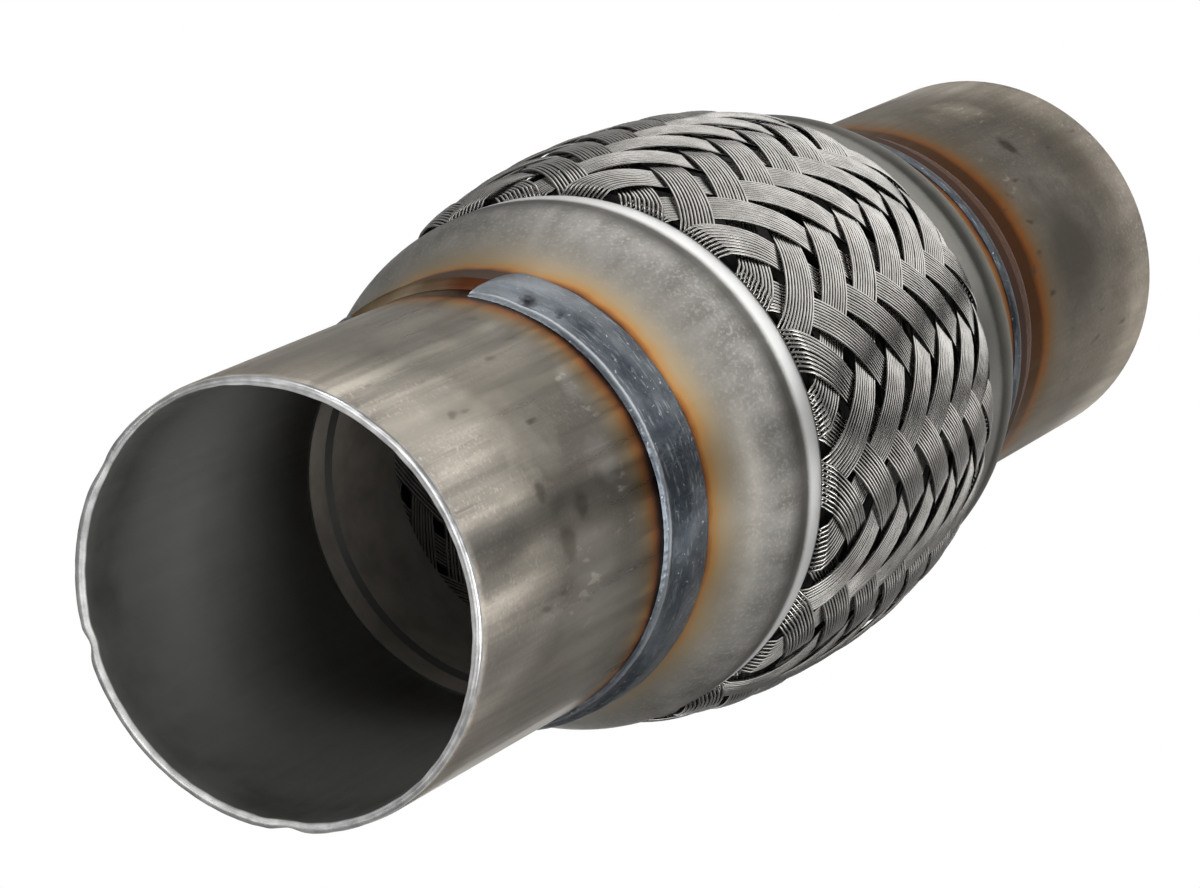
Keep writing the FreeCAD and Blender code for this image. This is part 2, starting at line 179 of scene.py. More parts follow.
# A noise's range that gives a soft change, and the one that a roughness follows.
SOFT = (0.35, 0.65)
WIDE = (0.3, 0.7)
NOISE_ROUGHNESS = 0.55

# Stub steel: dark, middle and bright tone, and the tint of its highlights.
FRONT_TONES = ((0.125, 0.115, 0.100), (0.230, 0.209, 0.180), (0.40, 0.362, 0.312))
FRONT_HIGHLIGHTS = (0.86, 0.83, 0.78)
REAR_TONES = ((0.105, 0.099, 0.090), (0.235, 0.216, 0.192), (0.40, 0.37, 0.335))
REAR_HIGHLIGHTS = (0.72, 0.67, 0.60)
SCUFF_TONE = (0.58, 0.54, 0.47)
STAIN_TONE = (0.05, 0.042, 0.035)
BARE_TONE = (0.165, 0.135, 0.095)
RIM_TONES = ((0.14, 0.14, 0.14), (0.25, 0.25, 0.248))
# Inside of a stub: painted light, a lighter tone deep in the bore where shade falls, a dark tone at the
# front mouth, and patches.
INSIDE_DEEP_PAINTED_LIGHT = (0.240, 0.240, 0.226)
INSIDE_MOUTH = (0.030, 0.030, 0.028)
INSIDE_PATCH = (0.09, 0.09, 0.085)
# Radii between which a stub's inside turns into its outside.
WALL = (25.9 * MM, 26.2 * MM)
# Heights between which the raw rim starts, and between which the front stub's inside grows dark from the
# painted light deep in its bore.
RIM_START = (LENGTH - 0.55 * MM, LENGTH - 0.35 * MM)
INSIDE_RUN = (LENGTH - 44 * MM, LENGTH - 6 * MM)
# Bare place round the gap in the front bead: its middle and half widths in degrees, and its heights.
BARE_TURN = BEAD_END + 28.0
BARE_WIDTHS = (14.0, 26.0)
BARE_HEIGHTS = (LENGTH - 46 * MM, LENGTH - 44 * MM)

# Heat tints: share of the reach and colour. A tint may overlap its weld by so much.
TINT_OVERLAP = -0.8 * MM
FRONT_TINT = (
    (0.0, (0.035, 0.014, 0.009)), (0.06, (0.085, 0.026, 0.010)), (0.18, (0.280, 0.088, 0.016)),
    (0.30, (0.300, 0.140, 0.038)), (0.46, (0.250, 0.175, 0.095)), (1.0, (0.19, 0.172, 0.145)),
)
REAR_TINT = (
    (0.0, (0.050, 0.017, 0.007)), (0.40, (0.058, 0.018, 0.006)), (0.48, (0.230, 0.075, 0.018)),
    (0.56, (0.200, 0.110, 0.050)), (0.72, (0.160, 0.130, 0.095)), (1.0, (0.14, 0.125, 0.105)),
)
CAP_TINT = (
    (0.0, (0.040, 0.016, 0.008)), (0.07, (0.210, 0.075, 0.016)), (0.15, (0.290, 0.155, 0.050)),
    (0.30, (0.245, 0.185, 0.110)), (0.6, (0.215, 0.195, 0.160)), (1.0, (0.235, 0.225, 0.205)),
)

# Marks, and painted reflections. Painted reflections: lighter and darker strips along the front stub,
# standing in for the light its satin steel reflects; angle and half width in degrees, colour and strength.
FRONT_REFLECTION_STRIPES = (
    (23, 6, (0.20, 0.183, 0.155), 0.8), (37, 2.2, (0.09, 0.085, 0.075), 0.6),
    (43, 2.5, (0.40, 0.37, 0.32), 0.5), (50, 2.0, (0.11, 0.10, 0.09), 0.5),
    (-8, 5, (0.075, 0.073, 0.068), 0.55), (5, 3, (0.13, 0.12, 0.105), 0.5),
    (68, 5, (0.16, 0.15, 0.135), 0.4), (-40, 8, (0.15, 0.14, 0.13), 0.4),
)
# Spots: angle in degrees, height and size in mm, colour and strength.
FRONT_SPOTS = (
    (12, 181, 7, (0.42, 0.39, 0.34), 0.55), (-22, 176, 8, (0.33, 0.31, 0.28), 0.5),
    (28, 190, 5, (0.10, 0.095, 0.08), 0.5), (46, 172, 5, (0.09, 0.08, 0.07), 0.45),
    (-2, 168, 4, (0.40, 0.38, 0.34), 0.5), (18, 164, 4, (0.44, 0.42, 0.38), 0.5),
    (-10, 176, 2.2, (0.05, 0.045, 0.035), 0.7), (-4, 184, 1.6, (0.05, 0.048, 0.042), 0.7),
    (-17, 181, 2.0, (0.07, 0.06, 0.045), 0.6), (-38, 174, 10, (0.30, 0.285, 0.26), 0.5),
)
REAR_SPOTS = (
    (-9, 27, 14, (0.085, 0.082, 0.072), 0.9), (50, 20, 5, (0.42, 0.38, 0.32), 0.6),
    (29, 24, 2.4, (0.03, 0.028, 0.025), 0.8), (12, 12, 9, (0.085, 0.078, 0.066), 0.5),
)
BEAD_SPOTS = ((BEAD_END - 7, 155.5, 11, (0.17, 0.185, 0.20), 0.6),)
ROOT_SPOTS = ((BEAD_END + 1, 155, 8, (0.060, 0.018, 0.008), 0.95),)
WIRE_SPOTS = ((9, 134, 2.6, (0.16, 0.075, 0.03), 0.8),)
WIRE_SPOT_RADIUS = 37 * MM
# Scuffs: angle in degrees, height and size in mm.
FRONT_SCUFFS = ((16, 163, 7), (-14, 166, 6), (-30, 178, 7))
REAR_SCUFFS = ((48, 20, 6), (20, 36, 7), (-20, 40, 6))
# Share of a mark's size that is wholly covered.
STRIPE_CORE, SPOT_CORE, SCUFF_CORE = 0.35, 0.3, 0.4
SCUFF_STRENGTH = 0.6

# Cap steel: dark and bright tone, and the shoulder's painted highlight.
FRONT_CAP_TONES = ((0.135, 0.130, 0.118), (0.225, 0.218, 0.204))
FRONT_SHOULDER_HIGHLIGHT = (0.60, 0.60, 0.595)
REAR_CAP_TONES = ((0.055, 0.055, 0.048), (0.10, 0.096, 0.084))
REAR_SHOULDER_HIGHLIGHT = (0.15, 0.147, 0.135)
LIP_TONE = (0.08, 0.08, 0.08)
CAP_HIGHLIGHTS = (0.88, 0.87, 0.85)
# Runs from a cap's weld side: where the painted shade in the crease comes and goes, where the shoulder's
# painted highlight comes on, where the lip starts.
CREASE_SHADE_COMES = (12.5 * MM, 15.5 * MM)
CREASE_SHADE_GOES = (16.6 * MM, 17.6 * MM)
SHOULDER_RUN = (17.0 * MM, 18.2 * MM)
LIP_RUN = (21.2 * MM, 21.5 * MM)

# Weld metal, the skin over the rear bead's flat side and the joint left bare.
BEAD_TONES = ((0.030, 0.036, 0.044), (0.064, 0.073, 0.082))
BEAD_LINE = (0.22, 0.24, 0.26)
BEAD_GRAIN = (0.45, 0.46, 0.47)
BEAD_RIDGE = (0.30, 0.32, 0.34)
RIDGE_HEIGHT = LENGTH - 45.75 * MM
CRATER_TONE = (0.010, 0.010, 0.011)
SKIN_EDGE = 50.3 * MM
SKIN_TONE = (0.085, 0.034, 0.015)
SKIN_SPECK = (0.5, 0.44, 0.38)
ROOT_TONES = ((0.10, 0.072, 0.045), (0.19, 0.15, 0.10))
ROOT_HIGHLIGHTS = (0.6, 0.5, 0.4)

# Rings, bellows and wires.
RING_TONE = (0.27, 0.245, 0.215)
STEP_TONE = (0.012, 0.011, 0.010)
BELLOWS_TONE = (0.07, 0.07, 0.066)
WIRE_TONES = ((0.20, 0.192, 0.178), (0.45, 0.438, 0.415))
LINER_TONES = ((0.28, 0.27, 0.25), (0.50, 0.48, 0.45))
# Painted shade on the wires' flanks, in the grooves between them.
FLANK_SHADE = (0.012, 0.012, 0.011)

# Grey cards round the part: angle in degrees, width and grey.
CARDS = (
    (-22, 0.030, 0.05), (-62, 0.040, 0.40), (-110, 0.080, 0.30), (112, 0.090, 0.34), (170, 0.090, 0.40),
)
CARD_DISTANCE = 0.075
CARD_BOTTOM = 0.001
CARD_HEIGHT = 0.16
# Ring-shaped card on the floor: inner and outer radius and grey.
FLOOR_CARD = (0.030, 0.075, 0.30)
FLOOR_CARD_HEIGHT = 0.0008
FLOOR_CARD_SIDES = 48

# Floor and world: the world is softer to all rays that are neither the camera's nor reflected.
FLOOR_REACH = 3.0
FLOOR_GREY = 0.93
MATTE_ROUGHNESS = 0.9
WORLD_SOFT, WORLD_FULL = 0.72, 1.0
# Lamps: name, place, size and watts, all aimed at one place.
LAMPS = (
    ("key", (0.3, 1.1, 1.3), 0.5, 12),
    ("fill", (0.9, -0.7, 1.2), 0.9, 34),
    ("top", (-0.2, 0.1, 1.8), 1.0, 20),
)
LAMP_TARGET = (0, 0, 0.1)


# Meshes.


def mesh_object(name, points, faces, smooth=True):
    """A mesh object from points and faces, in the frame's metres."""
    mesh = bpy.data.meshes.new(name)
    mesh.from_pydata([tuple(p) for p in points], [], faces)
    mesh.update()
    if smooth:
        mesh.shade_smooth()
    thing = bpy.data.objects.new(name, mesh)
    bpy.context.scene.collection.objects.link(thing)
    return thing


def quads(index):
    """Faces between the neighbouring rows and columns of an array of point numbers."""
    corners = (index[..., :-1, :-1], index[..., :-1, 1:], index[..., 1:, 1:], index[..., 1:, :-1])
    return np.stack(corners, -1).reshape(-1, 4).tolist()


def grid_object(name, points, wrap_rows, wrap_columns):
    """A mesh over a rows x columns x 3 array of points; smooth faces."""
    rows, columns = points.shape[:2]
    index = np.arange(rows * columns).reshape(rows, columns)
    if wrap_rows:
        index = np.concatenate([index, index[:1]])
    if wrap_columns:
        index = np.concatenate([index, index[:, :1]], 1)
    return mesh_object(name, points.reshape(-1, 3), quads(index))


def tubes_object(name, paths, radius, sides):
    """Round wires along paths (wires x stations x 3), all in one mesh."""
    wires, stations = paths.shape[:2]
    along = np.gradient(paths, axis=1)
    along /= np.linalg.norm(along, axis=2, keepdims=True)
    outward = paths * (1.0, 1.0, 0.0)
    outward /= np.linalg.norm(outward, axis=2, keepdims=True)
    across = np.cross(along, outward)
    across /= np.linalg.norm(across, axis=2, keepdims=True)
    outward = np.cross(across, along)
    turn = (np.arange(sides) * 2 * math.pi / sides)[:, None]
    ring = outward[:, :, None] * np.cos(turn) + across[:, :, None] * np.sin(turn)
    points = paths[:, :, None] + ring * radius
    index = np.arange(wires * stations * sides).reshape(wires, stations, sides)
    index = np.concatenate([index, index[..., :1]], 2)
    return mesh_object(name, points.reshape(-1, 3), quads(index))


def turned(turns, radius, height):
    """Points at angles round the axis; radius and height are one value or one for each angle."""
    return np.stack([radius * np.cos(turns), radius * np.sin(turns), height + 0 * turns], -1)


def waves(noise, terms):
    """A sum of cosine waves; each term gives a wave's phase and its usual height."""
    return sum(noise.normal(0, level) * np.cos(phase + noise.uniform(0, PHASES)) for phase, level in terms)


def barrel_radius(z):
    """Outside radius of the braid's wall at height z, under the floats."""
    reach = np.abs(z - MIDDLE)
    share = np.clip(reach / BARREL_REACH, 0, 1)
    dip = DIP_DEPTH * np.clip((reach - DIP_START) / DIP_RUN, 0, 1)
    shoulder = BARREL_SHOULDER * (1 - share**BARREL_POWER)
    return LIP_RADIUS + shoulder + BARREL_CROWN * (1 - share**2) - dip


def weave_wave(crossings, climb):
    """Over-two, under-two height of a family, from -1 to 1, at a count of crossings."""
    phase = 2 * math.pi * (crossings - 0.5) / CROSSINGS_PER_WAVE
    return climb * np.tanh(WAVE_STEEPNESS * np.cos(phase)) / math.tanh(WAVE_STEEPNESS)


def braid_wires(climb, noise):
    """Centre lines of one family of the outer braid; climb is +1 or -1."""
    step = np.linspace(-1, 1, WIRE_STATIONS)
    z = MIDDLE + WIRE_REACH * (CROWDING * np.sin(step * math.pi / 2) + (1 - CROWDING) * step)
    open_share = np.clip((FADE_END - np.abs(z - MIDDLE)) / FADE_RUN, 0, 1)
    paths = []
    for ribbon in range(RIBBONS):
        ribbon_lean = noise.normal(0, RIBBON_STRAY)
        for wire in range(WIRES_PER_RIBBON):
            side = wire - (WIRES_PER_RIBBON - 1) / 2
            offset = side * WIRE_SPACING + ribbon_lean + noise.normal(0, WIRE_STRAY)
            wander = np.sin((z - MIDDLE) / WANDER_RUN + noise.uniform(0, PHASES))
            wander = wander * noise.normal(0, WIRE_WANDER)
            steps = (z - WEAVE_SHIFT - offset - wander) / RIBBON_PITCH
            turn = WEAVE_TURN + RIBBON_STEP * (ribbon + climb * steps)
            other = (turn - WEAVE_TURN) / RIBBON_STEP + climb * (z - WEAVE_SHIFT) / RIBBON_PITCH
            wave = weave_wave(other + ribbon, climb)
            arch = 1 - (side / (WIRES_PER_RIBBON / 2)) ** 2
            lift = (WAVE_HEIGHT + RIBBON_ARCH * arch) * wave - RIBBON_SINK
            lift = lift * open_share - FADE_SINK * (1 - open_share) + noise.normal(0, WIRE_LIFT)
            radius = np.minimum(barrel_radius(z) + lift, BRAID_LIMIT - WIRE_RADIUS)
            paths.append(turned(turn, radius, z))
    return np.array(paths)


def liner_wires(climb, noise):
    """Centre lines of one family of the liner's wires."""
    z = np.linspace(LINER_EDGE, LENGTH - LINER_EDGE, LINER_STATIONS)
    paths = []
    for ribbon in range(LINER_RIBBONS):
        for wire in range(LINER_WIRES):
            side = wire - (LINER_WIRES - 1) / 2
            offset = side * LINER_SPACING + noise.normal(0, LINER_STRAY)
            turn = LINER_STEP * (ribbon + climb * (z - MIDDLE - offset) / LINER_PITCH)
            other = turn / LINER_STEP + climb * (z - MIDDLE) / LINER_PITCH
            radius = LINER_RADIUS - LINER_WAVE * weave_wave(other + ribbon, climb)
            paths.append(turned(turn, radius, z))
    return np.array(paths)


def raw_pipe():
    """The front stub: a plain tube whose cut rim is uneven and bent in here and there."""
    turns = np.linspace(0, 2 * math.pi, PIPE_STEPS, endpoint=False)
    noise = np.random.default_rng(SEED + 1)
    slow = waves(noise, [(order * turns, 1.0 / order) for order in SLOW_ORDERS])
    quick = waves(noise, [(order * turns, QUICK_LEVEL) for order in QUICK_ORDERS])
    kink = np.zeros_like(turns)
    for place, wide, deep in KINKS:
        away = np.angle(np.exp(1j * (turns - math.radians(place))))
        kink += deep * np.exp(-((away / math.radians(wide)) ** 2))
    drop = np.minimum(DROP_SLOW * np.abs(slow) + DROP_QUICK * np.abs(quick), DROP_LIMIT)
    edge = LENGTH - drop - KINK_DROP * kink
    burr = np.clip(BURR_START + BURR_SLOW * slow + BURR_QUICK * quick, *BURR_LIMITS)
    inner_lip = PIPE_BORE + burr - KINK_INNER * kink
    outer_lip = PIPE_OUTSIDE - CHAMFER - np.clip(CHAMFER_QUICK * quick, 0, CHAMFER_LIMIT) - KINK_OUTER * kink
    dent = KINK_WALL * kink
    base = LENGTH - PIPE_LENGTH
    # Up the bore, over the rim and down the outside: radius and height.
    profile = (
        (PIPE_BORE, base),
        (PIPE_BORE, LENGTH - 6 * MM),
        (PIPE_BORE - 0.3 * dent, LENGTH - 2.5 * MM),
        (inner_lip, edge - 0.5 * MM),
        (inner_lip + 0.15 * MM, edge - 0.1 * MM),
        ((inner_lip + outer_lip) / 2, edge),
        (outer_lip - 0.15 * MM, edge - 0.05 * MM),
        (outer_lip, edge - 0.35 * MM),
        (PIPE_OUTSIDE - dent, LENGTH - 1.6 * MM),
        (PIPE_OUTSIDE, LENGTH - 6 * MM),
        (PIPE_OUTSIDE, base),
    )
    points = np.stack([turned(turns, radius, height) for radius, height in profile])
    return grid_object("stub_front", points, True, True)


def roughened(points, seed, depth):
    """Bead points moved out and in by a few waves round and along the bead."""
    turns = np.arctan2(points[..., 1], points[..., 0])
    terms = [
        (order * turns + points[..., 2] * way, 1.0 / math.sqrt(order)) for order, way in BEAD_WAVES
    ]
    wave = waves(np.random.default_rng(seed), terms)
    return points * (1 + np.stack([wave, wave, 0 * wave], -1) * depth / BEAD_RADIUS)


def bead_rows(profile, count):
    """Runs from the stub's side and radii of a bead's rows, in metres."""
    runs = np.linspace(0, profile[-1][0], count)
    return list(zip(runs * MM, np.interp(runs, *zip(*profile)) * MM))


def front_bead():
    """The wide front bead, which ends in a rounded tip, with a crater and a pit near it."""
    first, last = math.radians(BEAD_END - BEAD_SWEEP), math.radians(BEAD_END)
    turns = np.linspace(first, last, FRONT_STEPS)
    past = np.clip((turns - last) / math.radians(TIP_RUN) + 1, 0, 1)
    before = np.clip((first - turns) / math.radians(TAIL_RUN) + 1, 0, 1)
    narrowed = 1 - np.sqrt(1 - np.maximum(past, before) ** 2)
    rows = [
        turned(
            turns,
            PIPE_OUTSIDE + (radius - PIPE_OUTSIDE) * (1 - TIP_FLATTENING * narrowed),
            LENGTH - STUB_REACH - run * (1 - TIP_NARROWING * narrowed),
        )
        for run, radius in bead_rows(FRONT_BEAD, FRONT_ROWS)
    ]
    points = roughened(np.array(rows), SEED + 2, FRONT_ROUGHNESS)
    for turn, height, wide, _ in CRATERS:
        centre = turned(math.radians(turn), BEAD_RADIUS, height)
        away = np.linalg.norm(points - centre, axis=-1)
        points[..., :2] *= (1 - CRATER_DEPTH * np.exp(-((away / wide) ** 2)) / BEAD_RADIUS)[..., None]
    return grid_object("weld_front_bead", points, False, False)


def bead_ring(name, edge, way, profile, seed, arc=None):
    """A bead all the way round or over an arc. way is +1 where its cap lies below it."""
    turns = np.linspace(*(arc or (0, 2 * math.pi)), RING_STEPS, endpoint=arc is not None)
    rows = [turned(turns, radius, edge - way * run) for run, radius in bead_rows(profile, RING_ROWS)]
    return grid_object(name, roughened(np.array(rows), seed, RING_ROUGHNESS), False, arc is None)


# Materials.


def scaled(colour, share):
    """A colour made darker or brighter."""
    return tuple(value * share for value in colour)


class Look:
    """A steel's node tree, built from small pieces."""

    def __init__(self, name):
        self.material = bpy.data.materials.new(name)
        self.material.use_nodes = True
        self.tree = self.material.node_tree
        self.shader = self.tree.nodes["Principled BSDF"]
        self.place = self.tree.nodes.new("ShaderNodeTexCoord").outputs["Object"]
        self.x, self.y, self.z = self.split(self.place)

    def link(self, source, socket):
        """Sets a socket from another socket or from a value."""
        if isinstance(source, bpy.types.NodeSocket):
            self.tree.links.new(source, socket)
        else:
            socket.default_value = source

    def split(self, vector):
        """The three parts of a vector."""
        node = self.tree.nodes.new("ShaderNodeSeparateXYZ")
        self.link(vector, node.inputs[0])
        return node.outputs

    def math(self, operation, *values):
        """A Math node's result."""
        node = self.tree.nodes.new("ShaderNodeMath")
        node.operation = operation
        for socket, value in zip(node.inputs, values):
            self.link(value, socket)
        return node.outputs[0]

    def vector_math(self, operation, vector, other, result):
        """A Vector Math node's result, by its name."""
        node = self.tree.nodes.new("ShaderNodeVectorMath")
        node.operation = operation
        self.link(vector, node.inputs[0])
        self.link(other, node.inputs[1])
        return node.outputs[result]

    def stretched(self, across, along):
        """The place, scaled across the axis and along it."""
        return self.vector_math("MULTIPLY", self.place, (across, across, along), "Vector")

    def distance(self, turn, radius, height):
        """How far a place is from the point at an angle in degrees, a radius and a height."""
        point = turned(math.radians(turn), radius, height).tolist()
        return self.vector_math("DISTANCE", self.place, point, "Value")

    def from_axis(self):
        """How far a place is from the axis."""
        squares = [self.math("MULTIPLY", value, value) for value in (self.x, self.y)]
        return self.math("SQRT", self.math("ADD", *squares))

    def turn(self):
        """A place's angle round the axis, in degrees."""
        return self.math("DEGREES", self.math("ARCTAN2", self.y, self.x))

    def run(self, edge, toward_rear):
        """How far a place lies beyond an edge, towards the rear or towards the front."""
        run = self.math("SUBTRACT", self.z, edge)
        return self.math("MULTIPLY", run, -1.0) if toward_rear else run

    def normal(self):
        """The surface's normal."""
        return self.tree.nodes.new("ShaderNodeNewGeometry").outputs["Normal"]

    def noise(self, vector, scale=1.0, detail=3.0):
        """A noise texture's strength, about 0.5 on average."""
        node = self.tree.nodes.new("ShaderNodeTexNoise")
        self.link(vector, node.inputs["Vector"])
        node.inputs["Scale"].default_value = scale
        node.inputs["Detail"].default_value = detail
        node.inputs["Roughness"].default_value = NOISE_ROUGHNESS
        return node.outputs["Fac"]

    def swing(self, strength, amount):
        """A noise's strength turned into a swing about zero."""
        return self.math("MULTIPLY", self.math("SUBTRACT", strength, 0.5), amount)

    def ranged(self, value, low, high, to_low=0.0, to_high=1.0):
        """A value mapped from low..high and held inside the new range."""
        node = self.tree.nodes.new("ShaderNodeMapRange")
        self.link(value, node.inputs["Value"])
        for name, number in zip(
            ("From Min", "From Max", "To Min", "To Max"), (low, high, to_low, to_high)
        ):
            self.link(number, node.inputs[name])
        return node.outputs["Result"]

    def ramp(self, value, stops):
        """A colour ramp; stops are (share, colour)."""
        node = self.tree.nodes.new("ShaderNodeValToRGB")
        self.link(value, node.inputs["Fac"])
        band = node.color_ramp
        while len(band.elements) < len(stops):
            band.elements.new(0.5)
        for element, (share, colour) in zip(band.elements, stops):
            element.position = share
            element.color = (*colour, 1.0)
        return node.outputs["Color"]

    def mix(self, share, first, second):
        """Two colours mixed."""
        node = self.tree.nodes.new("ShaderNodeMix")
        node.data_type = "RGBA"
        self.link(share, node.inputs[0])
        for value, socket in ((first, node.inputs[6]), (second, node.inputs[7])):
            if isinstance(value, tuple):
                value = (*value, 1.0)
            self.link(value, socket)
        return node.outputs[2]

    def mottled(self, strength, dark, bright):
        """Two tones that change softly with a noise."""
        return self.mix(self.ranged(strength, *SOFT), dark, bright)

    def covered(self, base, colour, value, low, high, to_low=0.0, to_high=1.0):
        """A base with a colour over it, as strong as a ranged value."""
        return self.mix(self.ranged(value, low, high, to_low, to_high), base, colour)

    def painted_reflection_bands(self, base, reflection_stripes, wander):
        """Painted reflections: lighter and darker strips along the axis over a base."""
        turn = self.math("ADD", self.turn(), wander)
        for middle, half, colour, strength in reflection_stripes:
            away = self.math("ABSOLUTE", self.math("SUBTRACT", turn, middle))
            base = self.covered(base, colour, away, half * STRIPE_CORE, half, strength, 0.0)
        return base

    def spots(self, base, places, radius, ragged=0.0):
        """Spots over a base, at a radius."""
        for turn, height, size, colour, strength in places:
            away = self.math("ADD", self.distance(turn, radius, height * MM), ragged)
            base = self.covered(base, colour, away, size * SPOT_CORE * MM, size * MM, strength, 0.0)
        return base

    def heat_tint(self, base, run, wobble, reach, stops, solid):
        """Heat tint over a base up to a reach from the weld; solid is the share covered wholly."""
        run = self.math("ADD", run, self.math("MAXIMUM", wobble, TINT_OVERLAP))
        share = self.ranged(run, 0.0, reach)
        return self.covered(base, self.ramp(share, stops), share, solid, 1.0, 1.0, 0.0)

    def highlights(self, tint):
        """Tints the highlights."""
        self.shader.inputs["Specular Tint"].default_value = (*tint, 1.0)

    def bump(self, height, strength, distance):
        """Bumps the shader's normal."""
        node = self.tree.nodes.new("ShaderNodeBump")
        node.inputs["Strength"].default_value = strength
        node.inputs["Distance"].default_value = distance
        self.link(height, node.inputs["Height"])
        self.link(node.outputs["Normal"], self.shader.inputs["Normal"])

    def finish(self, colour, roughness, metallic=1.0):
        """Joins the last colour, roughness and metallic value to the shader."""
        self.link(colour, self.shader.inputs["Base Color"])
        self.link(roughness, self.shader.inputs["Roughness"])
        self.link(metallic, self.shader.inputs["Metallic"])
        return self.material


def brushed(look, tones, streaky, streak, broad, cloud):
    """A stub's bare steel: three tones in streaks and clouds, with a fine speckle."""
    dark, middle, bright = tones
    fine = look.noise(look.stretched(*FINE_STREAKS), detail=2.0)
    speckle = look.noise(look.place, scale=1900.0)
    base = look.mix(look.ranged(broad, 0.38, 0.62), dark, middle)
    base = look.covered(base, bright, streak, 0.42, 0.72, 0.0, streaky)
    base = look.covered(base, dark, cloud, 0.5, 0.75, 0.0, 0.9 - 0.45 * streaky)
    base = look.covered(base, bright, fine, 0.62, 0.8, 0.0, 0.6 * streaky)
    base = look.covered(base, bright, speckle, 0.56, 0.68, 0.0, 0.35)
    return look.covered(base, dark, speckle, 0.32, 0.42, 0.4, 0.0)


def scuffed(look, base, scuffs):
    """Places where small bright chips of a stub's surface show."""
    chips = look.ranged(look.noise(look.stretched(*CHIPS)), 0.60, 0.65)
    for turn, height, size in scuffs:
        away = look.distance(turn, PIPE_OUTSIDE, height * MM)
        near = look.ranged(away, size * SCUFF_CORE * MM, size * MM, SCUFF_STRENGTH, 0.0)
        base = look.mix(look.math("MULTIPLY", near, chips), base, SCUFF_TONE)
    return base


def inside_with_painted_light(look, cloud):
    """A stub's inside, with painted light deep in the bore where shade falls; the front one grows dark
    towards its mouth.
    """
    base = look.mix(look.ranged(look.z, *INSIDE_RUN), INSIDE_DEEP_PAINTED_LIGHT, INSIDE_MOUTH)
    return look.covered(base, INSIDE_PATCH, cloud, *SOFT, 0.0, 0.3)


def front_marks(look, base, outside):
    """The front stub's raw rim and the bare place by the gap in its bead."""
    raw = look.mottled(look.noise(look.place, scale=420.0, detail=4.0), *RIM_TONES)
    base = look.covered(base, raw, look.z, *RIM_START)
    away = look.math("ABSOLUTE", look.math("SUBTRACT", look.turn(), BARE_TURN))
    round_it = look.ranged(away, *BARE_WIDTHS, 0.85, 0.0)
    bare = look.math("MULTIPLY", round_it, look.ranged(look.z, *BARE_HEIGHTS, 1.0, 0.0))
    return look.mix(look.math("MULTIPLY", bare, outside), base, BARE_TONE)


def stub_steel(
    name, is_front, weld_edge, tones, streaky, highlights, tint, tint_reach, reflection_stripes, spots, scuffs
):
    """A satin tube with streaks and marks along it, painted reflections in strips along it, heat tint by its
    weld and a dull inside with painted light deep in the bore.
    """
    look = Look(name)
    streak = look.noise(look.stretched(*STREAKS), detail=4.0)
    broad = look.noise(look.stretched(*BROAD_STREAKS))
    cloud = look.noise(look.place, scale=110.0, detail=4.0)
    base = brushed(look, tones, streaky, streak, broad, cloud)
    # Painted reflections: lighter and darker strips along the stub, at fixed angles round it.
    base = look.painted_reflection_bands(base, reflection_stripes, look.swing(broad, 9.0))
    ragged = look.swing(look.noise(look.place, scale=260.0, detail=4.0), 7 * MM)
    base = look.spots(base, spots, PIPE_OUTSIDE, ragged)
    base = scuffed(look, base, scuffs)
    drift = look.noise(look.place, scale=45.0, detail=2.0)
    wobble = look.math("ADD", look.swing(drift, 5.0 * MM), look.swing(cloud, 1.2 * MM))
    run = look.run(weld_edge, toward_rear=not is_front)
    base = look.heat_tint(base, run, wobble, tint_reach, tint, solid=0.55)
    stain = look.noise(look.stretched(*STAINS), detail=2.0)
    base = look.covered(base, STAIN_TONE, stain, 0.68, 0.74, 0.0, 0.7)
    outside = look.ranged(look.from_axis(), *WALL)
    # The inside, with painted light deep in the bore.
    base = look.mix(outside, inside_with_painted_light(look, cloud), base)
    if is_front:
        base = front_marks(look, base, outside)
    look.highlights(highlights)
    relief = look.math("ADD", look.math("MULTIPLY", streak, streaky), look.math("MULTIPLY", cloud, 0.6))
    look.bump(relief, strength=0.3, distance=0.15 * MM)
    inside_dullness = look.ranged(outside, 0.0, 1.0, 0.12, 0.0)
    roughness = look.math("ADD", look.ranged(streak, *WIDE, 0.40, 0.27), inside_dullness)
    return look.finish(base, roughness, look.ranged(outside, 0.0, 1.0, 0.1, 1.0))


def cap_steel(name, weld_edge, toward_rear, tones, shoulder, tint_reach):
    """A pressed satin cap with painted shade in its crease and a painted highlight on its shoulder, tinted
    by its weld.
    """
    look = Look(name)
    dark, bright = tones
    streak = look.noise(look.stretched(*CAP_STREAKS), detail=4.0)
    grain = look.noise(look.place, scale=2100.0)
    cloud = look.noise(look.place, scale=75.0)
    base = look.mottled(streak, dark, bright)
    base = look.covered(base, scaled(bright, 1.5), grain, 0.5, 0.7, 0.0, 0.5)
    run = look.run(weld_edge, toward_rear)
    # Painted shade in the cap's crease, ragged with a noise.
    crease = look.math("MULTIPLY", look.ranged(run, *CREASE_SHADE_COMES), look.ranged(run, *CREASE_SHADE_GOES, 1.0, 0.0))
    crease = look.math("MULTIPLY", crease, look.ranged(cloud, 0.35, 0.6, 0.7, 1.0))
    base = look.mix(crease, base, scaled(dark, 0.35))
    # Painted highlight on the shoulder.
    base = look.covered(base, shoulder, run, *SHOULDER_RUN, 0.0, 0.85)
    wobble = look.swing(cloud, 4.5 * MM)
    base = look.heat_tint(base, run, wobble, tint_reach, CAP_TINT, solid=0.35)
    base = look.covered(base, LIP_TONE, run, *LIP_RUN, 0.0, 0.85)
    relief = look.math("ADD", streak, look.math("MULTIPLY", grain, 0.5))
    look.bump(relief, strength=0.15, distance=0.1 * MM)
    look.highlights(CAP_HIGHLIGHTS)
    return look.finish(base, look.ranged(cloud, *WIDE, 0.54, 0.46))


